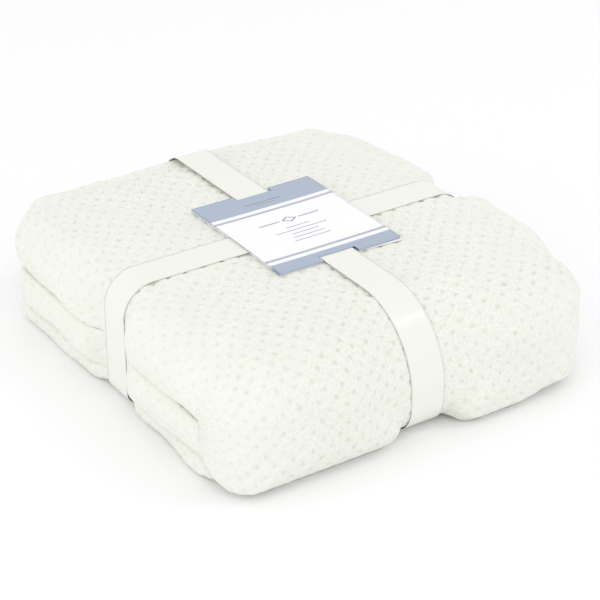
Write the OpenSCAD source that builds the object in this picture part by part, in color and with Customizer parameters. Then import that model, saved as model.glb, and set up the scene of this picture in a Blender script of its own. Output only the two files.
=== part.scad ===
// Folded throw blanket, tied with two crossed satin ribbons under a printed card sleeve.
// X runs along the smooth front fold, Y from the front fold to the open back, Z up.
// The origin is at the centre of the face that the blanket rests on.

/* [Folded blanket] */
// Length of the folded stack along X, one quarter of the cloth's width
stack_length = 450; // [380:5:520]
// Depth of the folded stack along Y, from the front fold to the back turn
stack_depth = 490; // [420:5:560]
// Height of the folded stack
stack_height = 132; // [120:1:150]
// Corner radius of the stack seen from above
plan_radius = 64; // [40:1:80]
// Radius where the top rolls over into the front fold
front_top_radius = 58; // [45:1:62]
// Radius where the front fold rolls under to the base
front_base_radius = 40; // [25:1:48]
// Radius of the folded ends along their upper edge
end_top_radius = 34; // [20:1:40]
// Radius of the folded ends along their lower edge
end_base_radius = 18; // [10:1:24]

/* [Folded layers] */
// Height of the crease inside the last fold, half way up the stack
crease_height = 66; // [58:1:70]
// Thickness of the thin bundle at the bottom
bottom_layer = 24; // [20:1:30]
// Depth of the crevices between the bundles at the open sides
crevice_depth = 7; // [3:1:12]
// Height of those crevices
crevice_height = 5; // [2:1:8]

/* [Hems] */
// Height of a pair of stitched hems that lie on each other
hem_height = 5; // [3:0.5:7]
// Length of hem that shows at an open edge
hem_reach = 12; // [8:1:16]
// How far the lower back edges sit behind the back turn
back_setback = 10; // [8:1:16]

/* [Ribbons] */
// Width of both satin ribbons
ribbon_width = 40; // [25:1:45]
// Thickness of both satin ribbons
ribbon_thickness = 0.4; // [0.3:0.05:0.5]
// Centre of the crosswise ribbon along X
crosswise_x = 9; // [-20:1:20]
// Centre of the lengthwise ribbon along Y
lengthwise_y = 0; // [-15:1:15]
// How far each ribbon can be nudged to either side
ribbon_nudge = 4; // [2:1:8]
// Length of ribbon that overlaps itself under the blanket
ribbon_lap = 45; // [30:1:60]
// How far the lengthwise ribbon draws the two ends in
end_cinch = 15; // [0:1:18]
// How far the crosswise ribbon draws the front fold in
front_cinch = 15; // [0:1:18]
// How far the crosswise ribbon draws the back in
back_cinch = 5; // [0:1:8]

/* [Card sleeve] */
// Width of the card along X
card_width = 148; // [120:1:160]
// Length of the card along Y
card_length = 172; // [150:1:180]
// Thickness of the card
card_thickness = 0.4; // [0.3:0.05:0.5]
// Centre of the card along X
card_x = 10; // [-5:1:15]
// Centre of the card along Y
card_y = 8; // [-5:1:15]
// Width of the notches that the crosswise ribbon runs through
notch_width = 44; // [42:1:50]
// Depth of those notches
notch_depth = 8; // [3:1:10]
// Width of the glued tab along the card's front edge
tab_width = 15; // [8:1:18]

/* [Care label] */
// Width of the sewn-in care label
care_width = 32; // [20:1:40]
// Length that hangs below its seam
care_length = 44; // [30:1:48]
// Centre of the care label along X
care_x = -118; // [-150:1:-60]

/* [Hidden] */

$fn = 96;
clearance = 0.3;
seal_thickness = 0.2;
care_thickness = 0.6;
thread_reach = 0.8;
thread_height = 1.6;
cut = 1;
// Where the front fold ends and the flat bundles begin, and the radius of the back turn
fold_y = -stack_depth / 2 + crease_height;
back_turn_radius = (stack_height - crease_height) / 2 - 2;
slit = 0.6;
// Heights of the hem pairs at the right-hand end and at the back
hem_pitch = 16;
side_hem_heights = [for (step = [-1.5 : 1 : 1.5]) crease_height + step * hem_pitch];
end_hem_heights = [bottom_layer / 2, crease_height - 1.5 * hem_pitch, crease_height - hem_pitch / 2];
side_hem_x = stack_length / 2 - hem_reach - 2;
back_edge = stack_depth / 2 - back_setback;
hem_front = fold_y;
hem_back = stack_depth / 2 - plan_radius;
end_hem_half = stack_length / 2 - plan_radius;
// Levels above the stack's top: card back, glue, tab, lengthwise ribbon, crosswise ribbon, card front
back_z = stack_height + clearance;
glue_z = back_z + card_thickness;
glue_thickness = 0.1;
tab_z = glue_z + glue_thickness;
lengthwise_z = tab_z + card_thickness + clearance;
crosswise_z = lengthwise_z + ribbon_thickness + clearance;
front_z = crosswise_z + ribbon_thickness + clearance;
// Levels of the ribbons under the stack
crosswise_base = clearance;
lengthwise_base = crosswise_base + ribbon_thickness + clearance;
lap_rise = ribbon_thickness + seal_thickness;
crosswise_channel = crosswise_base + lap_rise + ribbon_thickness + clearance;
lengthwise_channel = lengthwise_base + lap_rise + ribbon_thickness + clearance;
channel_width = ribbon_width + 2 * (ribbon_nudge + 1);
// The cloth that the ribbons hold in: half its length, its front and its back, and how it rolls over
cinched_half = stack_length / 2 - end_cinch;
cinched_front = stack_depth / 2 - front_cinch;
cinched_back = stack_depth / 2 - back_cinch;
cinched_roll = stack_height - front_base_radius - 8;
back_base_radius = 8;
lap_start = 70;
seal_margin = 5;
ribbon_ease = 0.4;
// A ribbon turns the lower corners a little tighter than the cloth, which stays clear of it
corner_slack = 5;
care_y = stack_depth / 2 - 4.2;
care_top = 48;
care_seam_radius = 0.6;

// ---- Outlines ----

// A rectangle from low to high whose corners are rounded one by one:
// radii are low-low, high-low, high-high, low-high
module rounded_rectangle(low, high, radii) {
    difference() {
        translate(low) square(high - low);
        corner_waste(low, [1, 1], radii[0]);
        corner_waste([high[0], low[1]], [-1, 1], radii[1]);
        corner_waste(high, [-1, -1], radii[2]);
        corner_waste([low[0], high[1]], [1, -1], radii[3]);
    }
}

// What a rounded corner leaves out of a square one
module corner_waste(corner, inward, radius) {
    middle = corner + inward * radius;
    difference() {
        translate([min(corner[0] - inward[0] * cut, middle[0]), min(corner[1] - inward[1] * cut, middle[1])])
            square(radius + cut);
        translate(middle) circle(radius);
    }
}

// Side outline of the whole stack in Y and Z
module side_outline() {
    rounded_rectangle([-stack_depth / 2, 0], [stack_depth / 2, stack_height],
                      [front_base_radius, back_base_radius, back_turn_radius, front_top_radius]);
}

// Extrudes an outline in Y and Z along the whole length of the stack
module along_x(low, high) {
    translate([low, 0, 0]) rotate([90, 0, 90]) linear_extrude(high - low) children();
}

// Extrudes an outline in X and Z along Y
module along_y(low, high) {
    translate([0, high, 0]) rotate([90, 0, 0]) linear_extrude(high - low) children();
}

// The space that the rounded corners and folded ends leave to the cloth
module end_envelope() {
    intersection() {
        linear_extrude(stack_height)
            rounded_rectangle([-stack_length / 2, -stack_depth / 2], [stack_length / 2, stack_depth / 2],
                              [plan_radius, plan_radius, plan_radius, plan_radius]);
        along_y(-stack_depth / 2, stack_depth / 2)
            rounded_rectangle([-stack_length / 2, 0], [stack_length / 2, stack_height],
                              [end_base_radius, end_base_radius, end_top_radius, end_top_radius]);
    }
}

// Crevice around the two ends and the back at one height
module crevice(z) {
    inset = crevice_depth;
    start = -stack_depth / 2 + plan_radius;
    translate([0, 0, z - crevice_height / 2]) linear_extrude(crevice_height) difference() {
        translate([-stack_length / 2 - cut, start])
            square([stack_length + 2 * cut, stack_depth / 2 - start + cut]);
        rounded_rectangle([-stack_length / 2 + inset, -stack_depth / 2],
                          [stack_length / 2 - inset, back_edge - inset],
                          [1, 1, plan_radius - inset, plan_radius - inset]);
    }
}

// What lies outside an outline of the stack, out to a little past a half length
module outside(reach) {
    difference() {
        translate([-reach - cut, -cut]) square([2 * (reach + cut), stack_height + 2 * cut]);
        children();
    }
}

// Channels round the stack where the ribbons press into the cloth
module ribbon_channels() {
    along_y(lengthwise_y - channel_width / 2, lengthwise_y + channel_width / 2)
        outside(stack_length / 2)
            rounded_rectangle([-cinched_half, lengthwise_channel], [cinched_half, stack_height],
                              [end_base_radius, end_base_radius, end_top_radius, end_top_radius]);
    along_x(crosswise_x - channel_width / 2, crosswise_x + channel_width / 2)
        outside(stack_depth / 2)
            rounded_rectangle([-cinched_front, crosswise_channel], [cinched_back, stack_height],
                              [front_base_radius, back_base_radius, back_turn_radius, cinched_roll]);
}

// Everything of the stack between two depths and two heights
module bundle(y_low, y_high, z_low, z_high) {
    difference() {
        intersection() {
            along_x(-stack_length / 2, stack_length / 2) intersection() {
                side_outline();
                translate([y_low, z_low]) square([y_high - y_low, z_high - z_low]);
            }
            end_envelope();
        }
        crevice(bottom_layer);
        crevice(crease_height);
        hem_slots();
        ribbon_channels();
    }
}

// ---- Cloth ----

// Upper half of the stack, from the front fold to the rounded turn at the back
module top_bundle() {
    color("ivory") difference() {
        bundle(fold_y, stack_depth / 2, crease_height + slit / 2, stack_height);
        along_x(-stack_length, stack_length)
            corner_waste([stack_depth / 2, crease_height], [-1, 1], back_turn_radius);
    }
}

// The smooth turn at the front where the stack was folded last
module front_fold() {
    color("ivory") bundle(-stack_depth / 2, fold_y, 0, stack_height);
}

// Lower arm of the last fold, between the crease and the bottom bundle
module middle_bundle() {
    color("ivory") bundle(fold_y, back_edge, bottom_layer, crease_height - slit / 2);
}

// Thin bundle that the stack lies on
module bottom_bundle() {
    color("ivory") bundle(fold_y, back_edge, 0, bottom_layer);
}

// ---- Hems ----

// A hem lying along the right-hand end at one height
module side_hem_strip(z, reach) {
    translate([side_hem_x, hem_front, z - hem_height / 2]) cube([reach, hem_back - hem_front, hem_height]);
}

// A hem lying along the lower back edge at one height
module end_hem_strip(z, reach) {
    translate([-end_hem_half, back_edge - hem_reach + 4, z - hem_height / 2])
        cube([2 * end_hem_half, reach, hem_height]);
}

// Room for every hem
module hem_slots() {
    for (z = side_hem_heights) side_hem_strip(z, hem_reach + 2 + cut);
    for (z = end_hem_heights) end_hem_strip(z, hem_reach + 4);
}

// The stitched long edges of the cloth, which end at the right in pairs
module side_hem() {
    color("linen") difference() {
        union() for (z = side_hem_heights) side_hem_strip(z, hem_reach);
        ribbon_channels();
    }
}

// The stitched short edges of the cloth, which end at the back in pairs
module end_hem() {
    color("linen") difference() {
        union() for (z = end_hem_heights) end_hem_strip(z, hem_reach);
        ribbon_channels();
    }
}

// Overlocking thread along the side hems
module side_hem_thread() {
    color("seashell") difference() {
        union() for (z = side_hem_heights)
            translate([side_hem_x + hem_reach, hem_front, z - thread_height / 2])
                cube([thread_reach, hem_back - hem_front, thread_height]);
        ribbon_channels();
    }
}

// Overlocking thread along the end hems
module end_hem_thread() {
    color("seashell") difference() {
        union() for (z = end_hem_heights)
            translate([-end_hem_half, back_edge + 4, z - thread_height / 2])
                cube([2 * end_hem_half, thread_reach, thread_height]);
        ribbon_channels();
    }
}

// ---- Ribbons ----

// A closed band: its inner outline runs from low to high, and grow is its thickness
module band(low, high, radii, grow) {
    step = [grow, grow];
    difference() {
        rounded_rectangle(low - step, high + step, [for (r = radii) r + grow]);
        rounded_rectangle(low, high, radii);
    }
}

// Ribbon along X, round the top, both ends and the base, with its lap under the blanket
module lengthwise_ribbon() {
    half = cinched_half + ribbon_ease;
    low = lengthwise_y - ribbon_width / 2;
    base_radius = end_base_radius - corner_slack;
    color("snow") {
        along_y(low, low + ribbon_width)
            band([-half, lengthwise_base + ribbon_thickness], [half, lengthwise_z],
                 [base_radius, base_radius, end_top_radius, end_top_radius], ribbon_thickness);
        translate([lap_start, low, lengthwise_base + lap_rise])
            cube([ribbon_lap, ribbon_width, ribbon_thickness]);
    }
}

// Adhesive between the two ends of the lengthwise ribbon
module lengthwise_seal() {
    color("whitesmoke")
        translate([lap_start + seal_margin, lengthwise_y - ribbon_width / 2 + seal_margin,
                   lengthwise_base + ribbon_thickness])
            cube([ribbon_lap - 2 * seal_margin, ribbon_width - 2 * seal_margin, seal_thickness]);
}

// Ribbon along Y, over the lengthwise one on top and under it below
module crosswise_ribbon() {
    front = cinched_front + ribbon_ease;
    back = cinched_back + ribbon_ease;
    low = crosswise_x - ribbon_width / 2;
    color("snow") {
        along_x(low, low + ribbon_width)
            band([-front, crosswise_base + ribbon_thickness], [back, crosswise_z],
                 [front_base_radius - corner_slack, corner_slack, back_turn_radius, cinched_roll],
                 ribbon_thickness);
        translate([low, lap_start, crosswise_base + lap_rise])
            cube([ribbon_width, ribbon_lap, ribbon_thickness]);
    }
}

// Adhesive between the two ends of the crosswise ribbon
module crosswise_seal() {
    color("whitesmoke")
        translate([crosswise_x - ribbon_width / 2 + seal_margin, lap_start + seal_margin,
                   crosswise_base + ribbon_thickness])
            cube([ribbon_width - 2 * seal_margin, ribbon_lap - 2 * seal_margin, seal_thickness]);
}

// ---- Card sleeve ----

// A panel of the card between two Y positions
module card_panel(z, y_low, y_high) {
    translate([card_x - card_width / 2, y_low, z]) cube([card_width, y_high - y_low, card_thickness]);
}

// A fold of the card, standing between two heights
module card_fold(y, z_low, z_high) {
    translate([card_x - card_width / 2, y, z_low]) cube([card_width, card_thickness, z_high - z_low]);
}

// Openings in both folded edges for the crosswise ribbon
module card_notches() {
    for (side = [-1, 1])
        translate([card_x - notch_width / 2, card_y + side * card_length / 2 - notch_depth, stack_height])
            cube([notch_width, 2 * notch_depth, front_z]);
}

// Printed front of the card with the fold and the glued tab along its front edge
module card_front() {
    low = card_y - card_length / 2;
    color("lavender") difference() {
        union() {
            card_panel(front_z, low, low + card_length);
            card_fold(low, tab_z, front_z);
            card_panel(tab_z, low, low + tab_width);
        }
        card_notches();
    }
}

// Plain back of the card with the fold along its back edge
module card_back() {
    low = card_y - card_length / 2;
    color("white") difference() {
        union() {
            card_panel(back_z, low, low + card_length);
            card_fold(low + card_length - card_thickness, back_z, front_z);
        }
        card_notches();
    }
}

// Glue between the tab and the back
module card_glue() {
    low = card_y - card_length / 2;
    margin = 2;
    color("gainsboro") difference() {
        translate([card_x - card_width / 2 + margin, low + margin, glue_z])
            cube([card_width - 2 * margin, tab_width - 2 * margin, glue_thickness]);
        card_notches();
    }
}

// ---- Care label ----

// Sewn-in woven label that hangs from the hem at the back
module care_label() {
    color("white") {
        translate([care_x - care_width / 2, care_y - care_thickness / 2, care_top - care_length])
            cube([care_width, care_thickness, care_length]);
        translate([care_x - care_width / 2, care_y, care_top]) rotate([0, 90, 0])
            cylinder(h = care_width, r = care_seam_radius);
    }
}

top_bundle();
front_fold();
middle_bundle();
bottom_bundle();
side_hem();
end_hem();
side_hem_thread();
end_hem_thread();
lengthwise_ribbon();
lengthwise_seal();
crosswise_ribbon();
crosswise_seal();
card_front();
card_back();
card_glue();
care_label();
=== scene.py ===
import math

import bmesh
import bpy
import numpy as np
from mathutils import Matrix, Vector


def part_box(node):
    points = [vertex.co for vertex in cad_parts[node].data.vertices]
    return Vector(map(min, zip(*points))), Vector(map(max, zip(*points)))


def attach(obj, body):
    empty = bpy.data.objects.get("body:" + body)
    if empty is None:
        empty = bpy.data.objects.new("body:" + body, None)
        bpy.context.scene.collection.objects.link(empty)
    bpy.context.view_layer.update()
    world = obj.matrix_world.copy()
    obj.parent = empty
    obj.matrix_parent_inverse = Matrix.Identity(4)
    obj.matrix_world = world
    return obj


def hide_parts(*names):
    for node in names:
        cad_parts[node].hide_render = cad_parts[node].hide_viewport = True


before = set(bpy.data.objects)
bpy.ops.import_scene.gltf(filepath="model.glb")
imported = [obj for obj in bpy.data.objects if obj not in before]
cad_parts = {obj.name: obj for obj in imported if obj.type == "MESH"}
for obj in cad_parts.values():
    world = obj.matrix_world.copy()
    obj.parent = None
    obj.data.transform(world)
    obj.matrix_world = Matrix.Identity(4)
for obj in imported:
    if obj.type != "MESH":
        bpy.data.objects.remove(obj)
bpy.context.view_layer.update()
MM = 0.001

# ---- Places and sizes, read from the frame ----
_, TOP_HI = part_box("top_bundle")
FRONT_LO, FRONT_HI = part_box("front_fold")
_, LOWER_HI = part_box("bottom_bundle")
CARD_LO, CARD_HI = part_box("card_front")
CARD_BACK_LO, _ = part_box("card_back")
LABEL_LO, LABEL_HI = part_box("care_label")
HALF_X = TOP_HI.x
BACK_Y = TOP_HI.y
FRONT_Y = FRONT_LO.y
FOLD_Y = FRONT_HI.y
STACK_TOP = TOP_HI.z
CREASE_Z = FOLD_Y - FRONT_Y
SPLIT_Z = LOWER_HI.z
LOWER_BACK_Y = LOWER_HI.y
PLY = 8 * MM
PLAN_RADIUS = 64 * MM
FRONT_TOP_RADIUS = 58 * MM
FRONT_BASE_RADIUS = 40 * MM
# The most that the pressed cloth puffs up
PUFF = 1.6 * MM
# Spacing of the woven-in dimples: rows and columns of a quincunx
DIMPLE_X = 19.6 * MM
DIMPLE_Y = 21.0 * MM
RIBBON_THICK = 0.4 * MM
SKIN_TOP = STACK_TOP - 0.5 * MM


class Ribbon:
    """A ribbon's CAD box, the axis that it runs along, its height off the floor and its bends."""

    def __init__(self, way, along, channel, radii):
        self.way, self.along, self.channel = way, along, channel
        self.radii = radii
        self.lo, self.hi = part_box(way + "_ribbon")
        self.place = (self.lo[1 - along] + self.hi[1 - along]) / 2

    def beside(self, points):
        """How far points lie to one side of the ribbon's middle line."""
        return points[..., 1 - self.along] - self.place

    def lift(self):
        """How far over the plain top the ribbon's underside lies, less a hair."""
        return self.hi.z - RIBBON_THICK - 0.35 * MM - SKIN_TOP


# Bend radii of the ribbons' loops: low-low, high-low, high-high, low-high
LENGTHWISE = Ribbon("lengthwise", 0, 2.5 * MM, [13.2 * MM, 13.2 * MM, 34.2 * MM, 34.2 * MM])
CROSSWISE = Ribbon("crosswise", 1, 1.8 * MM, [35.2 * MM, 5.2 * MM, 31.2 * MM, 84.2 * MM])
RIBBON_WIDTH = LENGTHWISE.hi.y - LENGTHWISE.lo.y

# ---- Small tools ----
def smooth(low, high, value):
    t = np.clip((value - low) / (high - low), 0, 1)
    return t * t * (3 - 2 * t)


def field(points, wavelength, seed, waves=14):
    """A smooth random field of about unit size, the same on every run."""
    rng = np.random.default_rng(seed)
    total = np.zeros(points.shape[:-1])
    for _ in range(waves):
        direction = rng.normal(size=points.shape[-1])
        direction *= 2 * math.pi / (wavelength * np.linalg.norm(direction))
        total += np.cos(points @ direction + rng.uniform(0, 2 * math.pi))
    return total * math.sqrt(2 / waves)


def normals(points):
    """Unit normals of a grid whose columns close on themselves."""
    along = np.gradient(points, axis=0)
    across = np.roll(points, -1, axis=1) - np.roll(points, 1, axis=1)
    n = np.cross(across, along)
    return n / np.maximum(np.linalg.norm(n, axis=-1, keepdims=True), 1e-12)


def finish_mesh(name, verts, faces, uv=None):
    """A smooth-shaded object from points, faces and cloth coordinates."""
    mesh = bpy.data.meshes.new(name)
    mesh.from_pydata(np.asarray(verts).reshape(-1, 3).tolist(), [], faces)
    if uv is not None:
        layer = mesh.uv_layers.new(name="cloth")
        loops = np.empty(len(mesh.loops), np.int32)
        mesh.loops.foreach_get("vertex_index", loops)
        layer.data.foreach_set("uv", np.asarray(uv).reshape(-1, 2)[loops].ravel())
    mesh.validate()
    mesh.shade_smooth()
    piece = bpy.data.objects.new(name, mesh)
    bpy.context.scene.collection.objects.link(piece)
    return piece


def tube(path, profile, scale=None, up=(0, 0, 1)):
    """Sweeps a closed profile (side, up) along a path; returns a grid of points."""
    path = np.asarray(path, float)
    profile = np.asarray(profile, float)
    forward = np.gradient(path, axis=0)
    forward /= np.linalg.norm(forward, axis=1, keepdims=True)
    side = np.cross(forward, np.asarray(up, float))
    side /= np.maximum(np.linalg.norm(side, axis=1, keepdims=True), 1e-9)
    rise = np.cross(side, forward)
    size = np.ones(len(path)) if scale is None else np.asarray(scale)
    sides = profile[None, :, 0, None] * side[:, None] * size[:, None, None]
    rises = profile[None, :, 1, None] * rise[:, None] * size[:, None, None]
    return path[:, None] + sides + rises


def tube_faces(rows, cols, first=0):
    """Faces of a closed tube with its two end caps."""
    r = np.arange(rows - 1)[:, None] * cols
    c = np.arange(cols)[None, :]
    after = (c + 1) % cols
    quads = np.stack([r + c, r + after, r + cols + after, r + cols + c], -1).reshape(-1, 4)
    last = first + (rows - 1) * cols
    caps = [list(range(first, first + cols))[::-1], list(range(last, last + cols))]
    return (quads + first).tolist() + caps


def superellipse(width, height, count, power=2.4):
    angle = np.linspace(0, 2 * math.pi, count, endpoint=False)
    c, s = np.cos(angle), np.sin(angle)
    return np.stack([np.sign(c) * np.abs(c) ** (2 / power) * width / 2,
                     np.sign(s) * np.abs(s) ** (2 / power) * height / 2], -1)


def arc(centre, radius, start, stop, count):
    angle = np.radians(np.linspace(start, stop, count))
    return np.stack([centre[0] + radius * np.cos(angle), centre[1] + radius * np.sin(angle)], -1)


def distances(line):
    """How far along a polyline each of its points lies."""
    return np.r_[0, np.cumsum(np.linalg.norm(np.diff(line, axis=0), axis=1))]


def resample(line, spacing):
    """Points at an even spacing along a polyline."""
    line = np.asarray(line, float)
    length = distances(line)
    count = max(2, int(round(length[-1] / spacing)) + 1)
    at = np.linspace(0, length[-1], count)
    return np.stack([np.interp(at, length, line[:, k]) for k in range(line.shape[1])], -1)


# ---- Materials ----
class Shader:
    """A material and short ways to add nodes to it."""

    def __init__(self, name, colour, roughness):
        self.material = bpy.data.materials.new(name)
        self.material.use_nodes = True
        self.tree = self.material.node_tree
        self.bsdf = self.tree.nodes["Principled BSDF"]
        self.set("Base Color", (*colour, 1))
        self.set("Roughness", roughness)
        self.material.diffuse_color = (*colour, 1)

    def set(self, socket, value):
        self.bsdf.inputs[socket].default_value = value

    def sheen(self, weight, roughness):
        self.set("Sheen Weight", weight)
        self.set("Sheen Roughness", roughness)

    def node(self, kind, **settings):
        made = self.tree.nodes.new("ShaderNode" + kind)
        for key, value in settings.items():
            setattr(made, key, value)
        return made

    def link(self, source, target):
        self.tree.links.new(source, target)

    def feed(self, target, value):
        if isinstance(value, bpy.types.NodeSocket):
            self.link(value, target)
        else:
            target.default_value = value

    def math(self, operation, first, second=0.0, third=0.0):
        made = self.node("Math", operation=operation)
        for socket, value in zip(made.inputs, (first, second, third)):
            self.feed(socket, value)
        return made.outputs[0]

    def range(self, value, low, high, out_low=0.0, out_high=1.0):
        made = self.node("MapRange", interpolation_type="SMOOTHSTEP")
        for key, number in (("Value", value), ("From Min", low), ("From Max", high),
                            ("To Min", out_low), ("To Max", out_high)):
            self.feed(made.inputs[key], number)
        return made.outputs["Result"]

    def noise(self, scale, detail=3.0, stretch=(1, 1, 1), uv=False, roughness=0.5):
        if uv:
            source = self.node("UVMap", uv_map="cloth").outputs["UV"]
        else:
            source = self.node("TexCoord").outputs["Object"]
        mapping = self.node("Mapping")
        mapping.inputs["Scale"].default_value = stretch
        self.link(source, mapping.inputs["Vector"])
        made = self.node("TexNoise")
        made.inputs["Scale"].default_value = scale
        made.inputs["Detail"].default_value = detail
        made.inputs["Roughness"].default_value = roughness
        self.link(mapping.outputs["Vector"], made.inputs["Vector"])
        return made.outputs["Fac"]

    def uv(self):
        split = self.node("SeparateXYZ")
        self.link(self.node("UVMap", uv_map="cloth").outputs["UV"], split.inputs["Vector"])
        return split.outputs["X"], split.outputs["Y"]

    def side(self):
        """Distance from the middle of the stack along X, in the piece's own coordinates."""
        split = self.node("SeparateXYZ")
        self.link(self.node("TexCoord").outputs["Object"], split.inputs["Vector"])
        return self.math("ABSOLUTE", split.outputs["X"])

    def mix(self, factor, first, second):
        made = self.node("Mix", data_type="RGBA")
        self.feed(made.inputs["Factor"], factor)
        for socket, value in ((made.inputs[6], first), (made.inputs[7], second)):
            if isinstance(value, bpy.types.NodeSocket):
                self.link(value, socket)
            else:
                socket.default_value = (*value, 1)
        return made.outputs[2]

    def grain(self, texture, dark, light, rough, bump, span=(0.3, 0.7)):
        """Lets one texture drive the colour, the roughness and the bump."""
        self.colour(self.mix(self.range(texture, *span), dark, light))
        self.rough(self.range(texture, *span, *rough))
        self.bump(texture, *bump)

    def bump(self, height, strength, distance):
        made = self.node("Bump")
        made.inputs["Strength"].default_value = strength
        made.inputs["Distance"].default_value = distance
        self.link(height, made.inputs["Height"])
        if self.bsdf.inputs["Normal"].is_linked:
            self.link(self.bsdf.inputs["Normal"].links[0].from_socket, made.inputs["Normal"])
        self.link(made.outputs["Normal"], self.bsdf.inputs["Normal"])

    def colour(self, source):
        self.link(source, self.bsdf.inputs["Base Color"])

    def rough(self, source):
        self.link(source, self.bsdf.inputs["Roughness"])


def plush_material():
    """Soft pile with woven-in dimples, in the cloth's own coordinates, with painted shade in the dimples
    and between the tufts, less of it on the ends.
    """
    s = Shader("plush", (0.875, 0.885, 0.825), 0.95)
    s.sheen(0.35, 0.45)
    s.set("Specular IOR Level", 0.15)
    u, v = s.uv()
    wave_u = s.math("COSINE", s.math("MULTIPLY", u, 2 * math.pi / DIMPLE_X))
    wave_v = s.math("COSINE", s.math("MULTIPLY", v, 2 * math.pi / DIMPLE_Y))
    cell = s.math("MULTIPLY", wave_u, wave_v)
    dimple = s.range(cell, 0.66, 1.0)
    fibre = s.noise(900, 4, roughness=0.65)
    tuft = s.noise(1.0, 3, stretch=(330, 210, 1), uv=True, roughness=0.65)
    # Noise that varies how dark the painted shade in each dimple is
    dimple_shade_noise = s.noise(46, 2)
    cloud = s.noise(14, 2)
    light = s.mix(s.range(cloud, 0.35, 0.7), (0.868, 0.875, 0.808), (0.886, 0.892, 0.826))
    # Painted light on the ends: less painted shade in the dimples and between the tufts there, so the ends
    # read lighter, as if lit head-on
    plain = s.range(s.side(), 90 * MM, HALF_X - 8 * MM)
    shade = s.math("SUBTRACT", 1.0, s.math("MULTIPLY", plain, 0.55))
    # Painted shade between the tufts: the cloth's colour darkens where the pile's bump is low
    tufts = s.math("MULTIPLY", s.range(tuft, 0.60, 0.34), shade)
    pile = s.mix(tufts, light, (0.80, 0.807, 0.735))
    depth = s.math("MULTIPLY", dimple, s.range(dimple_shade_noise, 0.35, 0.65, 0.24, 0.56))
    # Painted shade: the dimples take a dark colour, as if shade fell in them
    s.colour(s.mix(s.math("MULTIPLY", depth, shade), pile, (0.66, 0.67, 0.59)))
    s.rough(s.range(fibre, 0.3, 0.7, 0.88, 1.0))
    height = s.math("SUBTRACT", tuft, s.math("MULTIPLY", dimple, 0.6))
    s.bump(height, 0.42, 1.6 * MM)
    s.bump(fibre, 0.28, 0.5 * MM)
    return s.material


def hem_material():
    """The same cloth pressed flat and stitched along its edge."""
    s = Shader("hem", (0.85, 0.855, 0.79), 0.92)
    s.sheen(0.25, 0.5)
    s.set("Specular IOR Level", 0.15)
    fibre = s.noise(700, 4, roughness=0.65)
    rib = s.noise(150, 2, stretch=(1, 1, 4))
    s.colour(s.mix(s.range(rib, 0.35, 0.65), (0.80, 0.81, 0.745), (0.875, 0.88, 0.82)))
    s.rough(s.range(fibre, 0.3, 0.7, 0.85, 0.98))
    s.bump(rib, 0.4, 0.8 * MM)
    s.bump(fibre, 0.4, 0.4 * MM)
    return s.material


def thread_material():
    s = Shader("sewing_thread", (0.84, 0.83, 0.76), 0.6)
    s.set("Sheen Weight", 0.2)
    twist = s.noise(2200, 2, stretch=(1, 1, 0.4))
    s.grain(twist, (0.78, 0.77, 0.70), (0.88, 0.87, 0.81), (0.5, 0.7), (0.5, 0.2 * MM))
    return s.material


def satin_material():
    """Woven satin: floats along the ribbon, corded edges and a soft gloss."""
    s = Shader("satin", (0.86, 0.867, 0.805), 0.36)
    s.set("Specular IOR Level", 0.3)
    s.sheen(0.15, 0.3)
    s.set("Coat Weight", 0.25)
    s.set("Coat Roughness", 0.18)
    floats = s.noise(1.0, 3, stretch=(2600, 90, 1), uv=True)
    across, _ = s.uv()
    edge = s.range(s.math("ABSOLUTE", across), RIBBON_WIDTH / 2 - 1.6 * MM, RIBBON_WIDTH / 2 - 0.8 * MM)
    body = s.mix(s.range(floats, 0.3, 0.7), (0.845, 0.852, 0.787), (0.868, 0.875, 0.812))
    s.colour(s.mix(s.math("MULTIPLY", edge, 0.5), body, (0.82, 0.825, 0.76)))
    s.rough(s.math("ADD", s.range(floats, 0.3, 0.7, 0.30, 0.44), s.math("MULTIPLY", edge, 0.2)))
    cord = s.noise(1.0, 1, stretch=(60, 1500, 1), uv=True)
    s.bump(s.math("MULTIPLY", edge, cord), 0.5, 0.4 * MM)
    s.bump(floats, 0.12, 0.12 * MM)
    return s.material


def paper_material(name, colour):
    """Bare card stock with its fibres."""
    s = Shader(name, colour, 0.7)
    shade = tuple(c * 0.96 for c in colour)
    s.grain(s.noise(1400, 4, roughness=0.7), shade, colour, (0.62, 0.8), (0.15, 0.1 * MM))
    return s.material


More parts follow.
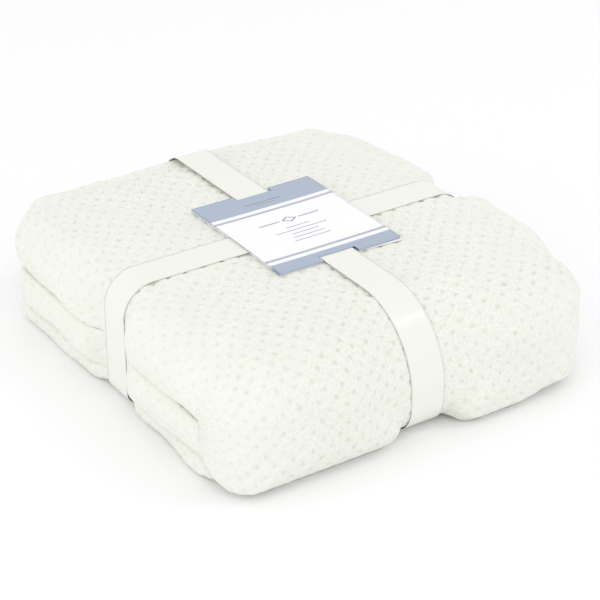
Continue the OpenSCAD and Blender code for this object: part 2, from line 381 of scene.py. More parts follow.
def print_material():
    """Coated card: blue bands, white panel, plain rules and a small diamond in place of any words."""
    white = (0.955, 0.95, 0.985)
    blue = (0.38, 0.45, 0.56)
    rule_blue = (0.44, 0.475, 0.56)
    ink = (0.30, 0.31, 0.36)
    s = Shader("printed_card", white, 0.42)
    s.set("Coat Weight", 0.15)
    s.set("Coat Roughness", 0.3)
    s.set("Specular IOR Level", 0.4)
    across, along = s.uv()

    def stripe(middle, half):
        return s.math("COMPARE", along, middle, half)

    def bar(middle, half, reach, shift=0.0):
        return s.math("MULTIPLY", stripe(middle, half), s.math("COMPARE", across, shift, reach))

    def total(parts):
        result = parts[0]
        for part in parts[1:]:
            result = s.math("MAXIMUM", result, part)
        return result

    bands = total([stripe(0.115, 0.115), stripe(0.95, 0.055)])
    lines = total([stripe(0.2775, 0.0115), stripe(0.8475, 0.0115)])
    diamond_x = s.math("MULTIPLY", s.math("ABSOLUTE", across), 0.55)
    diamond_y = s.math("ABSOLUTE", s.math("SUBTRACT", along, 0.44))
    spread = s.math("ADD", diamond_x, diamond_y)
    diamond = s.math("COMPARE", spread, 0.030, 0.006)
    heading = total([diamond, bar(0.44, 0.0055, 0.085, 0.165), bar(0.44, 0.0055, 0.085, -0.165)])
    reaches = (0.10, 0.21, 0.11, 0.13, 0.15)
    small = total([bar(0.535 + 0.043 * k, 0.0036, reach) for k, reach in enumerate(reaches)])
    crest = total([bar(0.148, 0.0065, 0.15), bar(0.176, 0.0035, 0.08)])
    fibre = s.noise(1100, 3, roughness=0.6)
    paper = s.mix(s.range(fibre, 0.3, 0.7), tuple(c * 0.985 for c in white), white)
    banded = s.mix(bands, paper, s.mix(s.range(fibre, 0.3, 0.7), blue, tuple(c * 1.05 for c in blue)))
    lined = s.mix(lines, banded, rule_blue)
    s.colour(s.mix(total([heading, small, crest]), lined, ink))
    s.rough(s.range(fibre, 0.3, 0.7, 0.38, 0.5))
    s.bump(fibre, 0.05, 0.05 * MM)
    return s.material


def label_material():
    """Woven tape with a plain border and rules in place of any words."""
    s = Shader("woven_label", (0.92, 0.92, 0.91), 0.5)
    s.set("Sheen Weight", 0.2)
    across, along = s.uv()
    weave = s.math("MULTIPLY", s.math("SINE", s.math("MULTIPLY", across, 700.0)),
                   s.math("SINE", s.math("MULTIPLY", along, 900.0)))
    rules = None
    for k, reach in enumerate((0.30, 0.22, 0.27, 0.18)):
        line = s.math("MULTIPLY", s.math("COMPARE", along, 0.34 + 0.13 * k, 0.012),
                      s.math("COMPARE", across, 0.0, reach))
        rules = line if rules is None else s.math("MAXIMUM", rules, line)
    ground = s.mix(s.range(weave, -1.0, 1.0), (0.88, 0.88, 0.87), (0.95, 0.95, 0.94))
    s.colour(s.mix(rules, ground, (0.33, 0.36, 0.44)))
    s.rough(s.range(weave, -1.0, 1.0, 0.45, 0.6))
    s.bump(weave, 0.3, 0.1 * MM)
    return s.material


def adhesive_material(name, colour):
    s = Shader(name, colour, 0.3)
    shade = tuple(c * 0.95 for c in colour)
    s.grain(s.noise(160, 3), shade, colour, (0.2, 0.45), (0.2, 0.1 * MM))
    return s.material


# ---- The folded cloth ----
# The main bundle is swept along the last fold: top arm, front turn, lower arm.
# CELL is the spacing along the sweep, and the steps count the points of a section:
# its outer face, its two ends in two parts each, and its crease side.
CELL = 2.25 * MM
OUTER_STEPS = 170
EDGE_STEPS = (24, 18)
INNER_STEPS = 34
# The cloth simulation takes every fourth point
COARSE = 4
BACK_TURN_RADIUS = 33 * MM
# How far the bundles round over at the back, and how far the lowest one is set in at its ends
END_DEPTH = 9 * MM
BASE_INSET = 9 * MM
# How far to each side a ribbon draws the cloth in, and how far it can be nudged
TIE_SPREAD = 14 * MM
NUDGE = 5 * MM
# The four front corners and the radii in millimetres that round them, along X, Y and Z
FRONT_CORNERS = [
    ((HALF_X, FRONT_Y, SKIN_TOP), (60, 66, 42)),
    ((-HALF_X, FRONT_Y, SKIN_TOP), (64, 64, 52)),
    ((HALF_X, FRONT_Y, 0), (60, 60, 22)),
    ((-HALF_X, FRONT_Y, 0), (46, 46, 20)),
]


def outer_outline():
    """Outer line of the fold in Y and Z, from the back of the top arm to the back of the lower arm."""
    turn = BACK_TURN_RADIUS
    rear = arc((BACK_Y - turn, SKIN_TOP - turn), turn, 52, 90, 16)
    upper = arc((FRONT_Y + FRONT_TOP_RADIUS, SKIN_TOP - FRONT_TOP_RADIUS), FRONT_TOP_RADIUS, 90, 180, 40)
    lower = arc((FRONT_Y + FRONT_BASE_RADIUS, FRONT_BASE_RADIUS), FRONT_BASE_RADIUS, 180, 245, 26)
    floor = [(lower[-1][0] + 1 * MM, 0.6 * MM), (FRONT_Y + 35 * MM, 0.4 * MM)]
    shown = resample(np.vstack([rear, upper, lower, floor]), CELL)
    start = shown[-1]
    rise = np.linspace(0, 1, 13)[1:]
    tuck = np.stack([start[0] + rise * (FOLD_Y + 4 * MM - start[0]),
                     start[1] + smooth(0, 1, rise) * (SPLIT_Z + 0.4 * MM - start[1])], -1)
    rest = np.linspace(tuck[-1][0], LOWER_BACK_Y - 8 * MM, 57)[1:]
    under = np.stack([rest, np.full_like(rest, SPLIT_Z + 0.4 * MM)], -1)
    return np.vstack([shown, tuck, under])


def inner_line(outer):
    """The crease side of the fold: where each point of the outer line meets it."""
    inner = np.empty_like(outer)
    for k, (y, z) in enumerate(outer):
        if y >= FOLD_Y and z > CREASE_Z:
            past = max(0.0, y - (BACK_Y - BACK_TURN_RADIUS))
            lift = BACK_TURN_RADIUS - math.sqrt(BACK_TURN_RADIUS ** 2 - past ** 2)
            inner[k] = (y, CREASE_Z + 0.4 * MM + lift)
        elif y >= FOLD_Y:
            inner[k] = (y, CREASE_Z - 0.4 * MM)
        else:
            away = np.array([y - FOLD_Y, z - CREASE_Z])
            inner[k] = np.array([FOLD_Y, CREASE_Z]) + away / np.linalg.norm(away) * 0.6 * MM
    return inner


def edge_curve(bulge_out, widest, bulge_in, floor, step_in):
    """Outline of one folded end, from the outer face to the crease: inset and height, 0 to 1."""
    power = 2 / 2.25
    a = np.linspace(0, math.pi / 2, EDGE_STEPS[0] + 1)
    first = np.stack([bulge_out * (1 - np.sin(a) ** power), widest + (1 - widest) * np.cos(a) ** power], -1)
    b = np.linspace(0, math.pi / 2, EDGE_STEPS[1] + 1)[1:]
    second = np.stack([bulge_in * (1 - np.cos(b) ** power),
                       widest - (widest - floor) * np.sin(b) ** power], -1)
    curve = np.vstack([first, second])
    if step_in:
        tail = np.linspace(0, 1, 6)[1:, None]
        curve[-5:] = curve[-6] + tail * (np.array([bulge_in + 3 * MM, 0.0]) - curve[-6])
    return curve


def section(radii, thickness, place, front):
    """One cross-section of the bundle: X and height from crease (0) to outer face (1), as a loop."""
    upper = place > CREASE_Z
    left = edge_curve(radii[0], (0.40 if upper else 0.5) * (1 - front) + 0.08 * front, 9 * MM, 0.0, False)
    split = min(0.8, 4.1 * PLY / thickness)
    swell = split + (1 - split) * (0.42 - 0.38 * front)
    right = edge_curve(radii[1], swell, 12 * MM, split - 0.02, True)
    flat = np.linspace(HALF_X - radii[1], -(HALF_X - radii[0]), OUTER_STEPS + 1)[:-1]
    outer = np.stack([flat, np.ones_like(flat)], -1)
    left_side = np.stack([-(HALF_X - left[:, 0]), left[:, 1]], -1)
    right_side = np.stack([HALF_X - right[:, 0], right[:, 1]], -1)[::-1]
    inner_x = np.linspace(left_side[-1, 0], right_side[0, 0], INNER_STEPS + 1)[1:-1]
    inner = np.stack([inner_x, np.zeros_like(inner_x)], -1)
    return np.vstack([outer, left_side, inner, right_side[:-1]])


def front_share(y):
    """0 on the arms, 1 on the front face of the last fold."""
    return float(smooth(FOLD_Y - 2 * MM, FRONT_Y + 8 * MM, y))


def edge_radius(y, z):
    """How far the left and right ends round off, by place: top and front, inside the stack, base."""
    front = front_share(y)
    if z > CREASE_Z:
        right = 26 + 14 * float(smooth(-10 * MM, 50 * MM, y)) + 30 * front
        return (34 + 16 * front) * MM, right * MM
    if y >= FOLD_Y:
        both = 10 * MM + 6 * MM * float(smooth(FOLD_Y + 40 * MM, FOLD_Y, y))
        return both, both
    low = max(float(smooth(34 * MM, 4 * MM, z)), float(smooth(FRONT_Y + 12 * MM, FRONT_Y + 24 * MM, y)))
    return (50 - 16 * low) * MM, (56 - 18 * low) * MM


def sag(points):
    """How far the top droops toward the back edge and at the back corners."""
    x, y, z = points[..., 0], points[..., 1], points[..., 2]
    corner = smooth(250 * MM, 390 * MM, y + np.abs(x)) * smooth(0, 60 * MM, y)
    drop = 4.5 * MM * smooth(90 * MM, 225 * MM, y) + np.where(x > 0, 6 * MM, 1 * MM) * corner
    return drop * smooth(CREASE_Z, STACK_TOP, z)


def round_corners(points):
    """Draws the corners in to their plan radii, sets the front's foot out and rounds the front corners."""
    radius = PLAN_RADIUS + 14 * MM * smooth(CREASE_Z, STACK_TOP, points[..., 2])
    over = np.clip(np.abs(points[..., 0]) - (HALF_X - radius), 0, radius)
    inset = radius - np.sqrt(radius ** 2 - over ** 2)
    share = smooth(-0.12, 1.0, (points[..., 1] + 60 * MM) / (BACK_Y + 60 * MM))
    points[..., 1] -= inset * share
    points[..., 2] -= sag(points)
    foot = 4 * MM + 9 * MM * smooth(-20 * MM, 70 * MM, points[..., 0])
    foot = foot * smooth(40 * MM, 5 * MM, points[..., 2])
    points[..., 1] -= foot * smooth(FOLD_Y, FRONT_Y + 28 * MM, points[..., 1])
    low, high = (-HALF_X, FRONT_Y), (HALF_X, BACK_Y + 60 * MM)
    points = press(points, [0, 1], low, high, [PLAN_RADIUS, PLAN_RADIUS + 6 * MM, MM, MM], 1.0)
    for corner, radii in FRONT_CORNERS:
        points = round_corner(points, np.array(corner), np.array(radii) * MM)
    return points


def round_corner(points, corner, radii):
    """Rounds one corner of the stack like an egg, fading out along its three edges."""
    sign = np.array([math.copysign(1, corner[0]), -1.0, 1.0 if corner[2] > 0 else -1.0])
    centre = corner - sign * radii
    away = (points - centre) * sign / radii
    fade = np.prod(smooth(-0.9, 0.0, away), axis=-1, keepdims=True)
    length = np.linalg.norm(np.maximum(away, 0), axis=-1, keepdims=True)
    drawn = np.where(away > 0, away / np.maximum(length, 1), away)
    return points + (drawn - away) * sign * radii * fade


def across_cloth(loop):
    """The cloth's own coordinate round a section, from the middle of its outer face both ways."""
    along = distances(loop)
    middle = np.interp(0.0, -loop[:OUTER_STEPS, 0], along[:OUTER_STEPS])
    u = middle - along
    u[OUTER_STEPS + sum(EDGE_STEPS) + 1 + INNER_STEPS // 2:] += along[-1]
    return u


def main_base():
    """Points of the plain folded shape and its cloth coordinates."""
    outer = outer_outline()
    inner = inner_line(outer)
    travel = distances(outer)
    closing = np.radians(np.linspace(84, 0, 8)[:-1])
    stations = [(0, angle) for angle in closing]
    stations += [(k, 0.0) for k in range(len(outer))]
    stations += [(len(outer) - 1, angle) for angle in closing[::-1]]
    points, coords = [], []
    for k, angle in stations:
        thick = float(np.linalg.norm(outer[k] - inner[k]))
        loop = section(edge_radius(*outer[k]), thick, outer[k][1], front_share(outer[k][0]))
        height = 0.5 + (loop[:, 1] - 0.5) * math.cos(angle)
        place = inner[k] + height[:, None] * (outer[k] - inner[k])
        depth = place[:, 0] + END_DEPTH * math.sin(angle)
        x = loop[:, 0] * (1 - 0.03 * (1 - math.cos(angle)))
        points.append(np.stack([x, depth, place[:, 1]], -1))
        u = across_cloth(np.stack([loop[:, 0], loop[:, 1] * thick], -1))
        reach = travel[k] + (1 if k else -1) * angle * END_DEPTH * 1.5
        coords.append(np.stack([u, np.full_like(u, reach)], -1))
    return round_corners(np.array(points)), np.array(coords)


def press(points, axes, low, high, radii, weight):
    """Moves points that lie outside a rounded outline back onto it, by their weight."""
    place = points[..., axes]
    shift = np.minimum(np.array(high) - place, 0) + np.maximum(np.array(low) - place, 0)
    for sign, radius in zip(np.array([(-1, -1), (1, -1), (1, 1), (-1, 1)]), radii):
        away = place - (np.where(sign < 0, low, high) - sign * radius)
        length = np.maximum(np.linalg.norm(away, axis=-1, keepdims=True), 1e-9)
        back = -away / length * np.maximum(length - radius, 0)
        shift = np.where(np.all(away * sign > 0, axis=-1)[..., None], back, shift)
    points[..., axes] += shift * np.asarray(weight)[..., None]
    return points


def under_ribbon(distance, spread):
    """1 where a ribbon lies or can be nudged, falling away to either side."""
    past = np.clip(np.abs(distance) - RIBBON_WIDTH / 2 - NUDGE, 0, None)
    return np.exp(-(past / spread) ** 2)


def tie(points, spread=None):
    """Draws cloth in where the two ribbons hold it; the front slopes gently toward its ribbon."""
    wide = spread or TIE_SPREAD + 36 * MM * smooth(20 * MM, 60 * MM, points[..., 2])
    gap = 0.5 * MM
    for ribbon, reach in ((LENGTHWISE, spread or TIE_SPREAD), (CROSSWISE, wide)):
        along = ribbon.along
        low = (ribbon.lo[along] + gap + RIBBON_THICK, ribbon.channel)
        high = (ribbon.hi[along] - gap - RIBBON_THICK, ribbon.hi.z - RIBBON_THICK - 0.3 * MM)
        weight = under_ribbon(ribbon.beside(points), reach)
        points = press(points, [along, 2], low, high, ribbon.radii, weight)
    return points


def past_card(points):
    """How far points lie past the edges of the card at rest, along X and along Y."""
    past_x = np.abs(points[..., 0] - (CARD_LO.x + CARD_HI.x) / 2) - (CARD_HI.x - CARD_LO.x) / 2
    past_y = np.abs(points[..., 1] - (CARD_LO.y + CARD_HI.y) / 2) - (CARD_HI.y - CARD_LO.y) / 2
    return past_x, past_y


def loose(points):
    """1 where the cloth may puff up, 0 under the card's travel, the ribbons, the base and the crease."""
    x, y, z = points[..., 0], points[..., 1], points[..., 2]
    past_x, past_y = past_card(points)
    off_card = np.maximum(smooth(0, 26 * MM, past_x - 4 * MM), smooth(0, 26 * MM, past_y - 52 * MM))
    near, far = RIBBON_WIDTH / 2 + 5 * MM, RIBBON_WIDTH / 2 + 40 * MM
    beside = smooth(near, far, np.abs(LENGTHWISE.beside(points)))
    across = smooth(near, far, np.abs(CROSSWISE.beside(points)))
    on_top = smooth(STACK_TOP - 30 * MM, STACK_TOP - 8 * MM, z)
    ends = smooth(HALF_X - 60 * MM, HALF_X - 30 * MM, np.abs(x))
    upright = np.where(y < FOLD_Y, np.maximum(across, ends), 1.0)
    low = smooth(2 * MM, 26 * MM, z)
    freedom = np.minimum(np.where(np.abs(x) < HALF_X - 90 * MM, 1.0, beside), upright) * low
    return freedom * (1 - on_top) + on_top * off_card * beside * across * low


# Settings of the cloth simulation that puffs the bundle up
CLOTH = {
    "quality": 6,
    "mass": 0.4,
    "tension_stiffness": 12,
    "compression_stiffness": 8,
    "shear_stiffness": 4,
    "bending_stiffness": 1.5,
    "use_pressure": True,
    "uniform_pressure_force": 4,
    "vertex_group_mass": "held",
}


def relax(points):
    """Blows the coarse bundle up a little with Blender's cloth, tied where the ribbons hold it."""
    rows, cols = points.shape[:2]
    piece = finish_mesh("relax", points, tube_faces(rows, cols))
    free = loose(points)
    inner = np.zeros((rows, cols), bool)
    first = (OUTER_STEPS + sum(EDGE_STEPS)) // COARSE
    inner[:, first:first + INNER_STEPS // COARSE + 1] = True
    held = np.where(inner, 1.0, 1 - free)
    group = piece.vertex_groups.new(name="held")
    for index, weight in enumerate(held.ravel()):
        group.add([index], float(weight), "REPLACE")
    cloth = piece.modifiers.new("puff", "CLOTH")
    for setting, value in CLOTH.items():
        setattr(cloth.settings, setting, value)
    cloth.settings.effector_weights.gravity = 0
    cloth.point_cache.frame_start = 1
    cloth.point_cache.frame_end = 20
    for number in range(1, 21):
        bpy.context.scene.frame_set(number)
    shaped = piece.evaluated_get(bpy.context.evaluated_depsgraph_get())
    moved = np.empty(rows * cols * 3)
    shaped.data.vertices.foreach_get("co", moved)
    bpy.data.objects.remove(piece)
    return moved.reshape(rows, cols, 3) - points


def refine(coarse, rows, cols):
    """Spreads a coarse field over the fine grid, smoothly along both directions."""
    at = np.arange(rows) / COARSE
    low = np.clip(np.floor(at).astype(int), 0, coarse.shape[0] - 2)
    t = np.clip(at - low, 0, 1)[:, None, None]
    tall = coarse[low] * (1 - t) + coarse[low + 1] * t
    at = np.arange(cols) / COARSE
    left = np.floor(at).astype(int)
    t = (at - left)[None, :, None]
    wide = tall[:, left % tall.shape[1]] * (1 - t) + tall[:, (left + 1) % tall.shape[1]] * t
    for _ in range(3):
        wide[1:-1] = (wide[:-2] + 2 * wide[1:-1] + wide[2:]) / 4
        wide = (np.roll(wide, 1, 1) + 2 * wide + np.roll(wide, -1, 1)) / 4
    return wide


def dimples(coords):
    """1 in the middle of each dimple, falling to -1 between them."""
    return np.cos(2 * math.pi * coords[..., 0] / DIMPLE_X) * np.cos(2 * math.pi * coords[..., 1] / DIMPLE_Y)


def pile(points, coords, amount):
    """Dimples sunk between raised pile, as a height over the plain cloth."""
    cell = dimples(coords)
    depth = 1.5 * MM * (1 + 0.25 * field(points, 26 * MM, 23))
    sunk = smooth(0.45, 1.0, cell) * depth
    raised = smooth(-0.2, -1.0, cell) * 0.3 * MM
    tufts = field(points, 9 * MM, 21) * 0.22 * MM + field(points, 5.5 * MM, 22) * 0.13 * MM
    return (raised - sunk + tufts) * amount


def pile_amount(points):
    """The dimples are plainest on the top, softer on the front and on the ends."""
    front = smooth(FRONT_Y + 32 * MM, FRONT_Y + 4 * MM, points[..., 1])
    ends = smooth(HALF_X - 30 * MM, HALF_X - 8 * MM, np.abs(points[..., 0]))
    return (1 - 0.3 * front) * (1 - 0.7 * ends) * (1 + 0.16 * field(points, 0.3, 31))


def puffed(points, normal):
    """Adds what Blender's cloth moves, within PUFF across the surface and 3 mm along it."""
    shift = refine(relax(points[::COARSE, ::COARSE]), *points.shape[:2])
    out = np.sum(shift * normal, -1)
    side = shift - out[..., None] * normal
    out = PUFF * np.tanh(out / PUFF)
    length = np.maximum(np.linalg.norm(side, axis=-1, keepdims=True), 1e-9)
    side *= np.minimum(1, 3 * MM / length)
    return points + normal * out[..., None] + side


def blanket_main():
    """The thick bundle: the last fold with the layers in it."""
    points, coords = main_base()
    points = tie(points)
    rows, cols = points.shape[:2]
    plain = points.copy()
    normal = normals(points)
    if np.sum(normal[rows // 3, :OUTER_STEPS, 2]) < 0:
        normal = -normal
    points = puffed(points, normal)
    slack = field(plain, 150 * MM, 3) * 0.9 * MM + field(plain, 62 * MM, 4) * 0.6 * MM
    points = points + normal * (loose(plain) * slack)[..., None]
    points[..., 2] += hump(plain)
    stray = np.stack([field(plain, 90 * MM, 5), field(plain, 90 * MM, 6)], -1) * 1.3 * MM
    coords = coords + stray
    points = points + normal * pile(plain, coords, pile_amount(plain))[..., None]
    points = tie(points, 6 * MM)
    points[..., 2] += meet_ribbons(plain)
    points[..., 2] = np.minimum(points[..., 2], ceiling(points))
    points[..., 2] = np.maximum(points[..., 2], 0)
    return finish_mesh("blanket_main", points, tube_faces(rows, cols), coords)


def hump(points):
    """The cloth stands up in front of the lengthwise ribbon, where it goes over the right-hand end."""
    beside = np.exp(-((LENGTHWISE.beside(points) + 40 * MM) / (15 * MM)) ** 2)
    right = smooth(150 * MM, 195 * MM, points[..., 0])
    return 4 * MM * beside * right * smooth(CREASE_Z, STACK_TOP, points[..., 2])


def clear_of_card(points):
    """0 under the card's travel, 1 away from it."""
    past_x, past_y = past_card(points)
    return smooth(2 * MM, 20 * MM, np.maximum(past_x, past_y - 50 * MM))


def flat_part(value, low, high, radii):
    """1 on the flat run of a ribbon, 0 from where it starts to bend down."""
    start, stop = low + radii[3], high - radii[2]
    return smooth(start, start + 14 * MM, value) * smooth(stop, stop - 14 * MM, value)


def meet_ribbons(points):
    """Lifts the top skin to the undersides of the ribbons where the card does not slide."""
    lifts = []
    for ribbon in (LENGTHWISE, CROSSWISE):
        along = ribbon.along
        near = under_ribbon(ribbon.beside(points), 12 * MM)
        near = near * flat_part(points[..., along], ribbon.lo[along], ribbon.hi[along], ribbon.radii)
        lifts.append(ribbon.lift() * near)
    on_top = smooth(STACK_TOP - 9 * MM, STACK_TOP - 2 * MM, points[..., 2])
    return np.maximum(*lifts) * on_top * clear_of_card(points)


def ceiling(points):
    """Highest that the cloth may stand: low under the card's travel, up to the ribbons, higher beside."""
    heights = []
    for ribbon in (LENGTHWISE, CROSSWISE):
        past = np.abs(ribbon.beside(points)) - RIBBON_WIDTH / 2 - NUDGE
        heights.append(ribbon.lift() + 5 * MM * smooth(0, 12 * MM, past))
    low = STACK_TOP + 0.1 * MM - SKIN_TOP
    return SKIN_TOP + low + (np.minimum(*heights) - low) * clear_of_card(points)


def base_stations():
    """Depth, thickness and inset of the ends along the bottom bundle, from the back to the front."""
    front = FRONT_Y + FRONT_BASE_RADIUS - 2 * MM
    back = LOWER_BACK_Y - 8 * MM
    full = SPLIT_Z - 0.4 * MM
    stations = []
    for angle in np.radians(np.linspace(84, 0, 8)):
        deep, thin = math.sin(angle), math.cos(angle)
        stations.append((back + END_DEPTH * deep, full * thin, 2 * MM * deep))
    for y in np.linspace(back, FOLD_Y + 6 * MM, 150)[1:]:
        stations.append((y, full, 0.0))
    for rise in np.linspace(0, 1, 18)[1:]:
        y = FOLD_Y + 6 * MM + rise * (front - FOLD_Y - 6 * MM)
        stations.append((y, full - float(smooth(0, 1, rise)) * (full - 1.2 * MM), 34 * MM * rise ** 2))
    return stations


def base_loop(half_x, top, middle):
    """Cross-section of the bottom bundle: under, left end, top and right end."""
    a = np.linspace(0, math.pi / 2, 13)
    power = 2 / 2.3
    edge = half_x - 12 * MM * (1 - np.sin(a) ** power)
    drop = top / 2 * (1 - np.cos(a) ** power)
    under = np.linspace(edge[0], -edge[0], 91)[1:-1]
    over = np.linspace(-edge[0], edge[0], 31)[1:-1]
    quarters = [np.stack([-edge, drop], -1), np.stack([-edge[::-1][1:], top - drop[::-1][1:]], -1),
                np.stack([over, np.full_like(over, top)], -1), np.stack([edge, top - drop], -1),
                np.stack([edge[::-1][1:], drop[::-1][1:]], -1)]
    loop = np.vstack([np.stack([under, np.zeros_like(under)], -1)] + quarters)
    loop[:, 1] += middle - top / 2
    return loop


def blanket_base():
    """The thin bundle at the bottom, which tapers out under the front turn."""
    rows, coords = [], []
    for y, thick, inset in base_stations():
        closing = y > LOWER_BACK_Y - 8 * MM
        inset += 6 * MM + (BASE_INSET - 6 * MM) * float(smooth(-165 * MM, -110 * MM, y))
        loop = base_loop(HALF_X - inset, thick, SPLIT_Z / 2 if closing else thick / 2)
        rows.append(np.stack([loop[:, 0], np.full(len(loop), y), loop[:, 1]], -1))
        around = distances(loop)
        coords.append(np.stack([around, np.full_like(around, y)], -1))
    points = round_corners(np.array(rows))
    coords = np.array(coords)
    points = tie(points)
    normal = normals(points)
    if np.sum(normal[60, :89, 2]) > 0:
        normal = -normal
    edge = smooth(HALF_X - 36 * MM, HALF_X - 16 * MM, np.abs(points[..., 0]))
    lift = field(points, 70 * MM, 8) * 0.8 * MM * edge + pile(points, coords, 0.6)
    points = tie(points + normal * lift[..., None], 6 * MM)
    points[..., 2] = np.maximum(points[..., 2], 0)
    return finish_mesh("blanket_base", points, tube_faces(*points.shape[:2]), coords)


def tufted(grid, tuft, wide_seed, fine_seed):
    """A swept strip with an uneven, soft surface."""
    middle = grid.mean(axis=1, keepdims=True)
    normal = normals(grid)
    sign = np.sign(np.sum(normal * (grid - middle), -1, keepdims=True))
    wobble = (field(grid, 34 * MM, wide_seed) + field(grid, 8 * MM, fine_seed) * 0.35) * tuft
    return grid + normal * sign * wobble[..., None]


def join_strips(name, paths, grids):
    """One piece made of several swept strips, lowered and drawn in with the cloth."""
    verts, faces, coords = [], [], []
    count = 0
    for path, grid in zip(paths, grids):
        grid[..., 2] -= sag(grid)
        grid = tie(grid, 20 * MM)
        grid[..., 2] = np.maximum(grid[..., 2], 0.05 * MM)
        rows, cols = grid.shape[:2]
        faces += tube_faces(rows, cols, count)
        verts.append(grid.reshape(-1, 3))
        around = np.linspace(0, 1, cols)[None, :] * 0.05
        travel = distances(path)[:, None]
        coords.append(np.stack(np.broadcast_arrays(around, travel), -1).reshape(-1, 2))
        count += rows * cols
    return finish_mesh(name, np.vstack(verts), faces, np.vstack(coords))


# ---- Hems and the turns at the back ----
SIDE_EDGE_X = HALF_X - 10 * MM
HEM_DEPTH = 20 * MM
TURN_DEPTH = 26 * MM
SIDE_OFFSETS = [PLY * (k + 0.5) for k in range(4)]
END_HEIGHTS = [PLY * (k + 0.5) for k in range(3)] + [SPLIT_Z + 1.5 * MM + PLY * (k + 0.5) for k in range(5)]


def side_hem_path(offset):
    """One cloth edge at the right-hand end: back along the top arm, round the crease, forward below."""
    back = BACK_Y - PLAN_RADIUS + 8 * MM
    top = [(back, CREASE_Z + offset), (FOLD_Y, CREASE_Z + offset)]
    turn = arc((FOLD_Y, CREASE_Z), offset, 90, 270, 30)
    bottom = [(back, CREASE_Z - offset)]
    line = resample(np.vstack([top, turn[1:], bottom]), 4 * MM)
    x = np.full(len(line), SIDE_EDGE_X)
    points = np.stack([x, line[:, 0], line[:, 1]], -1)
    points[:, 0] += field(points, 120 * MM, int(offset * 1e5)) * 0.9 * MM
    points[:, 0] -= smooth(back - 50 * MM, back, points[:, 1]) * 12 * MM
    points[:, 0] -= smooth(FOLD_Y, FOLD_Y - 30 * MM, points[:, 1]) * 7 * MM
    return points


def sweep_on_end(path, profile):
    """Sweeps a profile whose first axis is X and whose second stands off the path in Y and Z."""
    forward = np.gradient(path, axis=0)
    forward[:, 0] = 0
    forward /= np.linalg.norm(forward, axis=1, keepdims=True)
    across = np.stack([np.zeros(len(path)), -forward[:, 2], forward[:, 1]], -1)
    grid = path[:, None] + profile[None, :, 0, None] * np.array([1.0, 0, 0]) + (
        profile[None, :, 1, None] * across[:, None])
    pinch = field(grid, 30 * MM, 55)
    grid[..., 0] += pinch * 0.5 * MM
    return grid


def end_hem_path(z):
    half = HALF_X - PLAN_RADIUS + 6 * MM
    x = np.linspace(-half, half, 90)
    bend = smooth(half - 34 * MM, half, np.abs(x))
    y = np.full_like(x, LOWER_BACK_Y - 7 * MM) - bend * 9 * MM
    points = np.stack([x, y, np.full_like(x, z)], -1)
    points[:, 1] += field(points, 130 * MM, int(z * 1e5)) * 0.8 * MM
    return points


def back_turn_path(k):
    """One of the four soft turns that close the top arm at the back."""
    z = CREASE_Z + 2 * PLY * (k + 0.5) + 0.4 * MM
    above = z - (CREASE_Z + STACK_TOP) / 2
    rear = BACK_Y - BACK_TURN_RADIUS + math.sqrt(BACK_TURN_RADIUS ** 2 - above ** 2) - TURN_DEPTH / 2
    radius = PLAN_RADIUS - TURN_DEPTH / 2
    centre = (HALF_X - PLAN_RADIUS, rear - radius)
    right = arc(centre, radius, 50, 90, 14)
    left = arc((-centre[0], centre[1]), radius, 90, 130, 14)
    line = resample(np.vstack([right, left]), 4 * MM)
    share = np.abs(np.linspace(-1, 1, len(line)))
    points = np.stack([line[:, 0], line[:, 1], np.full(len(line), z)], -1)
    points[:, 1] += field(points, 110 * MM, 70 + k) * 0.7 * MM
    points[:, 1] -= smooth(0.9, 1.0, share) * 8 * MM
    return points, 1 - 0.6 * smooth(0.9, 1.0, share)


def zigzag(path, reach, rise, pitch, out):
    """A stitch line that crosses from side to side over an edge."""
    line = resample(path, pitch / 2)
    side = np.where(np.arange(len(line)) % 2 == 0, 1.0, -1.0)
    line = line + np.asarray(out)[None, :] * reach
    forward = np.gradient(line, axis=0)
    across = np.cross(forward, np.asarray(out)[None, :])
    across /= np.linalg.norm(across, axis=1, keepdims=True)
    return line + across * (side * rise)[:, None]


# ---- Ribbons ----
# Where the glued lap under the stack begins and ends
LAP_START = 114 * MM
LAP_END = 70 * MM


def rounded_loop(low, high, radii, start):
    """A rounded rectangle as a polyline that starts and ends at (start, low) on its lower side."""
    lo, hi = np.array(low), np.array(high)
    pieces = [
        [(start, lo[1])],
        arc((lo[0] + radii[0], lo[1] + radii[0]), radii[0], 270, 180, 24),
        arc((lo[0] + radii[3], hi[1] - radii[3]), radii[3], 180, 90, 36),
        arc((hi[0] - radii[2], hi[1] - radii[2]), radii[2], 90, 0, 36),
        arc((hi[0] - radii[1], lo[1] + radii[1]), radii[1], 0, -90, 24),
        [(start, lo[1])],
    ]
    return np.vstack(pieces)


